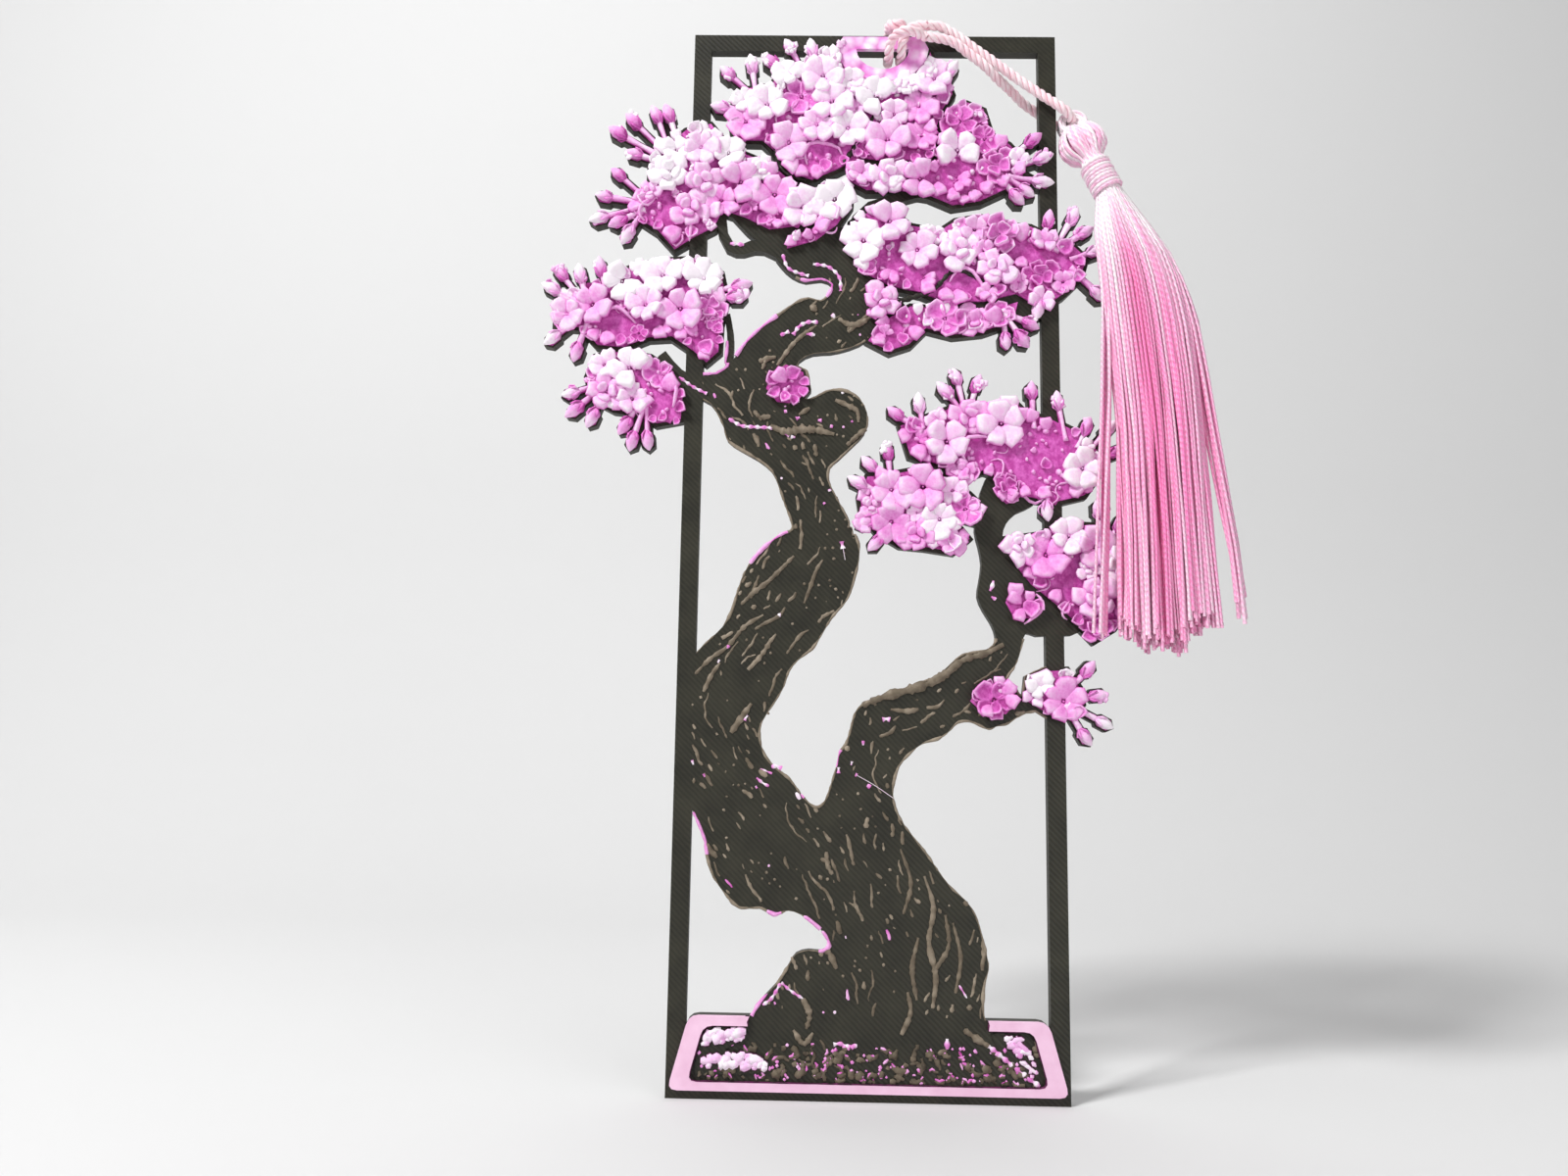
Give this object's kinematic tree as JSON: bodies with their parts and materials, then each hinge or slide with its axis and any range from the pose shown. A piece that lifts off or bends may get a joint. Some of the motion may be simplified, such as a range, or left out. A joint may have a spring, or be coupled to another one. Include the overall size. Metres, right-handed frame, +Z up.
{
  "type": "bookmark",
  "caption": "Slim upright frame bookmark with a flowering dwarf tree in a pot, raised pink blossom, and a silky tassel on a doubled cord.",
  "frame": {"origin": "middle of the bottom edge of the frame, halfway through its thickness", "axes": "+Z up along the tree, +X to the right as seen from the front, and the front with its raised blossom faces -Y"},
  "size_m": [0.0983, 0.0109, 0.1516],
  "materials": {
    "black_plastic": "matt black print with fine diagonal lines on its faces",
    "pink_relief": "satin, magenta in the hollows and nearly white at the tips",
    "pale_trim": "satin pale pink",
    "cord_yarn": "twisted pink yarn",
    "tassel_silk": "shiny pink thread"
  },
  "bodies": {
    "bookmark": {"left_rail": "black_plastic", "right_rail": "black_plastic", "top_rail": "black_plastic", "bottom_rail": "black_plastic", "pot_base": "black_plastic", "trunk_foot": "black_plastic", "left_stem": "black_plastic", "right_stem": "black_plastic", "sprig_plate": "black_plastic", "right_canopy_plate_outer": "black_plastic", "right_canopy_plate_outer_2": "black_plastic", "trunk_head": "black_plastic", "right_canopy_plate": "black_plastic", "trunk_top": "black_plastic", "left_canopy_plate": "black_plastic", "left_canopy_plate_inner": "black_plastic", "second_tier_plate": "black_plastic", "second_tier_plate_outer": "black_plastic", "upper_left_plate": "black_plastic", "upper_left_plate_inner": "black_plastic", "crown_stem_plate": "black_plastic", "crown_plate": "black_plastic", "crown_blossom": "pink_relief", "crown_right_blossom": "pink_relief", "crown_stem_blossom": "pink_relief", "upper_left_blossom": "pink_relief", "second_tier_blossom": "pink_relief", "second_tier_low_blossom": "pink_relief", "second_tier_hem_blossom": "pink_relief", "left_canopy_blossom": "pink_relief", "left_canopy_low_blossom": "pink_relief", "trunk_blossom": "pink_relief", "right_canopy_blossom": "pink_relief", "right_canopy_left_blossom": "pink_relief", "right_canopy_low_blossom": "pink_relief", "right_leaf_blossom": "pink_relief", "sprig_leaf_blossom": "pink_relief", "sprig_blossom": "pink_relief", "moss_left": "pink_relief", "moss_right": "pink_relief", "pot_rim": "pale_trim", "cord_ring": "pale_trim", "hitch_knot": "cord_yarn"},
    "cord": {"hanging_cord": "cord_yarn"},
    "head": {"tassel_head": "tassel_silk", "neck_binding": "cord_yarn"},
    "skirt": {"thread_skirt": "tassel_silk"}
  },
  "joints": [
    {"name": "cord_swing", "type": "hinge", "parent": "bookmark", "child": "cord", "pos_m": [0.007, -0.00295, 0.1503], "axis": [0, -1, 0], "range_deg": [0, 15]},
    {"name": "tassel_swing", "type": "hinge", "parent": "cord", "child": "head", "pos_m": [0.02885, -0.0003, 0.1366], "axis": [0, -1, 0], "range_deg": [0, 60]},
    {"name": "skirt_lift", "type": "hinge", "parent": "head", "child": "skirt", "pos_m": [0.03441, -0.00269, 0.12304], "axis": [-1, 0, 0], "range_deg": [0, 45]}
  ]
}
